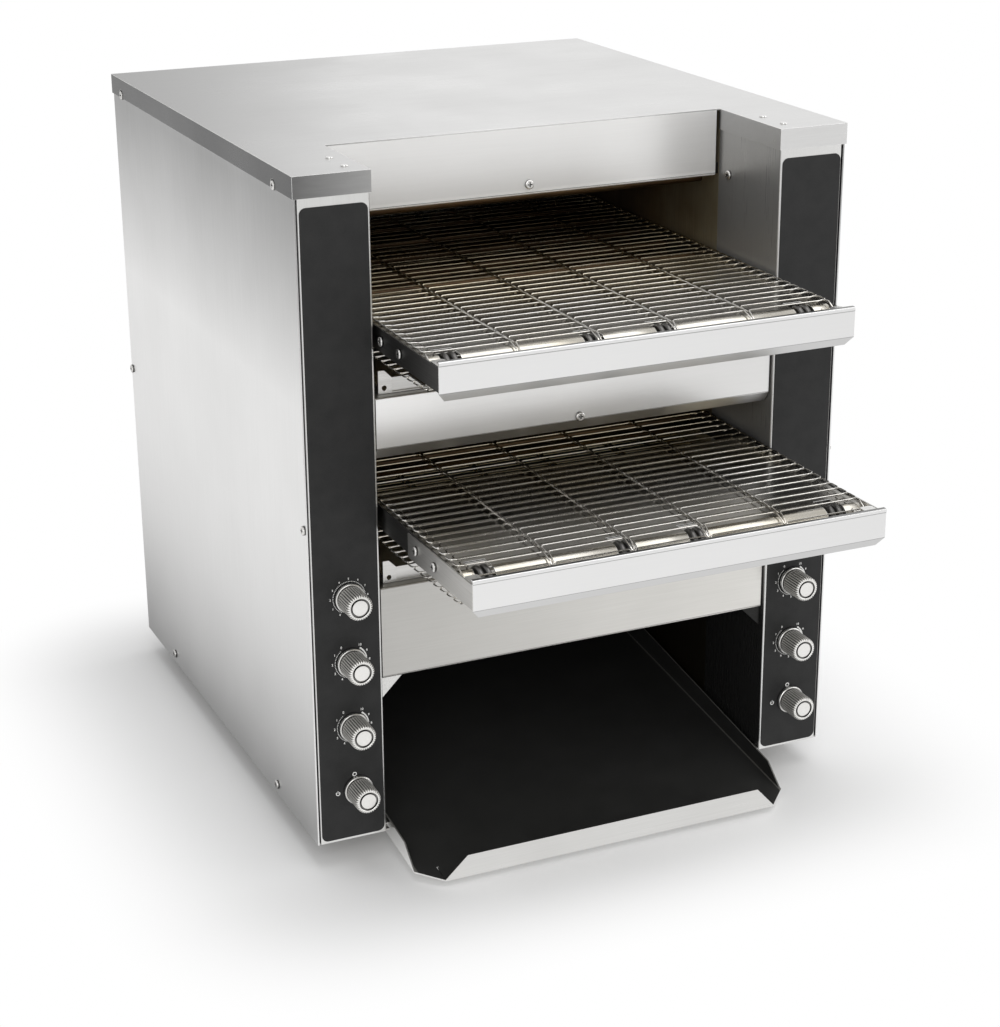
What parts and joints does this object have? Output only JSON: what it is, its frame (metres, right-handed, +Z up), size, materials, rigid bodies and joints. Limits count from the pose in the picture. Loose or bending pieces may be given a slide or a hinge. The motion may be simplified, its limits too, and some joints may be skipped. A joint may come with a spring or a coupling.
{
  "type": "conveyor toaster",
  "caption": "Countertop conveyor toaster: stacked wire belts carry bread past heating tubes into a steel case, and a rear chute drops the toast onto a front tray.",
  "frame": {"origin": "under the middle of the whole toaster, on the counter that its feet stand on", "axes": "+X to the right seen from the front, +Y from the front to the back (the belts' noses and the knobs face -Y), +Z up"},
  "size_m": [0.4716, 0.6784, 0.57],
  "materials": {
    "stainless_panel": "fine vertical or lengthwise brushing",
    "inner_steel": "plain mill finish with faint heat tint",
    "bright_steel": "bright smooth sheet",
    "reflector_steel": "polished",
    "belt_wire": "round drawn wire, browned by heat",
    "dark_rail": "dark heat-stained steel",
    "overlay_film": "fine matte film",
    "knob_metal": "satin turned metal",
    "nonstick_tray": "semi-gloss black non-stick coat inside",
    "heater_sheath": "oxidised heater sheath",
    "ceramic": "matte white",
    "shaft_steel": "ground bar",
    "wheel_steel": "dark oxidised pressed steel",
    "bush_bronze": "sintered bronze",
    "chain_steel": "oiled chain",
    "motor_metal": "grey cast case",
    "black_plastic": "moulded",
    "board_green": "coated circuit board",
    "white_plastic": "moulded",
    "rubber_black": "matte",
    "screw_steel": "bright pan heads"
  },
  "bodies": {
    "cabinet": {"base_pan": "inner_steel", "rubber_feet": "rubber_black", "top_cover": "stainless_panel", "cover_rivets": "screw_steel", "back_panel": "stainless_panel", "left_side_panel": "stainless_panel", "right_side_panel": "stainless_panel", "left_front_column": "stainless_panel", "right_front_column": "stainless_panel", "left_control_overlay": "overlay_film", "right_control_overlay": "overlay_film", "left_chamber_wall": "inner_steel", "right_chamber_wall": "inner_steel", "knob_controls": "black_plastic", "speed_boards": "board_green", "hood_panel": "bright_steel", "middle_front_panel": "stainless_panel", "lower_front_panel": "stainless_panel", "corner_brackets": "bright_steel", "inner_shelves": "inner_steel", "heating_tubes": "heater_sheath", "heater_end_caps": "ceramic", "heat_reflectors": "reflector_steel", "conveyor_rails": "dark_rail", "lower_extension_brackets": "stainless_panel", "nose_plates": "bright_steel", "shaft_bushes": "bush_bronze", "gear_motors": "motor_metal", "drive_chains": "chain_steel", "rear_chute": "inner_steel", "cooling_fan_frame": "black_plastic", "cable_gland": "black_plastic", "terminal_block": "white_plastic", "panel_screws": "screw_steel", "upper_front_guard": "bright_steel", "upper_belt": "belt_wire", "lower_front_guard": "bright_steel", "lower_belt": "belt_wire"},
    "left_power_knob": {"left_power_knob": "knob_metal"},
    "left_lower_heat_knob": {"left_lower_heat_knob": "knob_metal"},
    "left_upper_heat_knob": {"left_upper_heat_knob": "knob_metal"},
    "left_speed_knob": {"left_speed_knob": "knob_metal"},
    "right_power_knob": {"right_power_knob": "knob_metal"},
    "right_lower_heat_knob": {"right_lower_heat_knob": "knob_metal"},
    "right_upper_heat_knob": {"right_upper_heat_knob": "knob_metal"},
    "right_speed_knob": {"right_speed_knob": "knob_metal"},
    "upper_drive": {"upper_drive_shaft": "shaft_steel", "upper_drive_wheels": "wheel_steel"},
    "upper_idler": {"upper_idler_shaft": "shaft_steel", "upper_idler_wheels": "wheel_steel"},
    "upper_motor_output": {"upper_motor_sprocket": "wheel_steel"},
    "lower_drive": {"lower_drive_shaft": "shaft_steel", "lower_drive_wheels": "wheel_steel"},
    "lower_idler": {"lower_idler_shaft": "shaft_steel", "lower_idler_wheels": "wheel_steel"},
    "lower_motor_output": {"lower_motor_sprocket": "wheel_steel"},
    "cooling_fan": {"cooling_fan_rotor": "black_plastic"},
    "product_tray": {"product_tray": "nonstick_tray"},
    "upper_crumb_tray": {"upper_crumb_tray": "bright_steel"},
    "lower_crumb_tray": {"lower_crumb_tray": "bright_steel"}
  },
  "joints": [
    {"name": "left_power_knob_turn", "type": "hinge", "parent": "cabinet", "child": "left_power_knob", "pos_m": [-0.1986, -0.17505, 0.068], "axis": [0, -1, 0], "range_deg": [-90, 90]},
    {"name": "left_lower_heat_knob_turn", "type": "hinge", "parent": "cabinet", "child": "left_lower_heat_knob", "pos_m": [-0.201, -0.17505, 0.124], "axis": [0, -1, 0], "range_deg": [0, 300]},
    {"name": "left_upper_heat_knob_turn", "type": "hinge", "parent": "cabinet", "child": "left_upper_heat_knob", "pos_m": [-0.201, -0.17505, 0.18], "axis": [0, -1, 0], "range_deg": [0, 300]},
    {"name": "left_speed_knob_turn", "type": "hinge", "parent": "cabinet", "child": "left_speed_knob", "pos_m": [-0.201, -0.17505, 0.235], "axis": [0, -1, 0], "range_deg": [0, 270]},
    {"name": "right_power_knob_turn", "type": "hinge", "parent": "cabinet", "child": "right_power_knob", "pos_m": [0.2034, -0.17505, 0.068], "axis": [0, -1, 0], "range_deg": [-90, 90]},
    {"name": "right_lower_heat_knob_turn", "type": "hinge", "parent": "cabinet", "child": "right_lower_heat_knob", "pos_m": [0.201, -0.17505, 0.124], "axis": [0, -1, 0], "range_deg": [0, 300]},
    {"name": "right_upper_heat_knob_turn", "type": "hinge", "parent": "cabinet", "child": "right_upper_heat_knob", "pos_m": [0.201, -0.17505, 0.18], "axis": [0, -1, 0], "range_deg": [0, 300]},
    {"name": "right_speed_knob_turn", "type": "hinge", "parent": "cabinet", "child": "right_speed_knob", "pos_m": [0.201, -0.17505, 0.235], "axis": [0, -1, 0], "range_deg": [0, 270]},
    {"name": "upper_drive_spin", "type": "hinge", "parent": "cabinet", "child": "upper_drive", "pos_m": [0, 0.22835, 0.4375], "axis": [-1, 0, 0], "continuous": true},
    {"name": "upper_idler_spin", "type": "hinge", "parent": "cabinet", "child": "upper_idler", "pos_m": [0, -0.24665, 0.4375], "axis": [-1, 0, 0], "continuous": true},
    {"name": "upper_motor_output_spin", "type": "hinge", "parent": "cabinet", "child": "upper_motor_output", "pos_m": [0, 0.22835, 0.3675], "axis": [-1, 0, 0], "continuous": true},
    {"name": "lower_drive_spin", "type": "hinge", "parent": "cabinet", "child": "lower_drive", "pos_m": [0, 0.22835, 0.2925], "axis": [-1, 0, 0], "continuous": true},
    {"name": "lower_idler_spin", "type": "hinge", "parent": "cabinet", "child": "lower_idler", "pos_m": [0, -0.30315, 0.2925], "axis": [-1, 0, 0], "continuous": true},
    {"name": "lower_motor_output_spin", "type": "hinge", "parent": "cabinet", "child": "lower_motor_output", "pos_m": [0, 0.22835, 0.2225], "axis": [-1, 0, 0], "continuous": true},
    {"name": "cooling_fan_spin", "type": "hinge", "parent": "cabinet", "child": "cooling_fan", "pos_m": [0, 0.31335, 0.09], "axis": [0, 1, 0], "continuous": true},
    {"name": "product_tray_slide", "type": "slide", "parent": "cabinet", "child": "product_tray", "axis": [0, -1, 0], "range_m": [0, 0.28]},
    {"name": "upper_crumb_tray_slide", "type": "slide", "parent": "cabinet", "child": "upper_crumb_tray", "axis": [0, -1, 0], "range_m": [0, 0.36]},
    {"name": "lower_crumb_tray_slide", "type": "slide", "parent": "cabinet", "child": "lower_crumb_tray", "axis": [0, -1, 0], "range_m": [0, 0.36]}
  ],
  "couplings": [
    {"joint": "upper_idler_spin", "follows": "upper_drive_spin", "ratio": 1},
    {"joint": "upper_motor_output_spin", "follows": "upper_drive_spin", "ratio": 1},
    {"joint": "lower_idler_spin", "follows": "lower_drive_spin", "ratio": 1},
    {"joint": "lower_motor_output_spin", "follows": "lower_drive_spin", "ratio": 1}
  ]
}
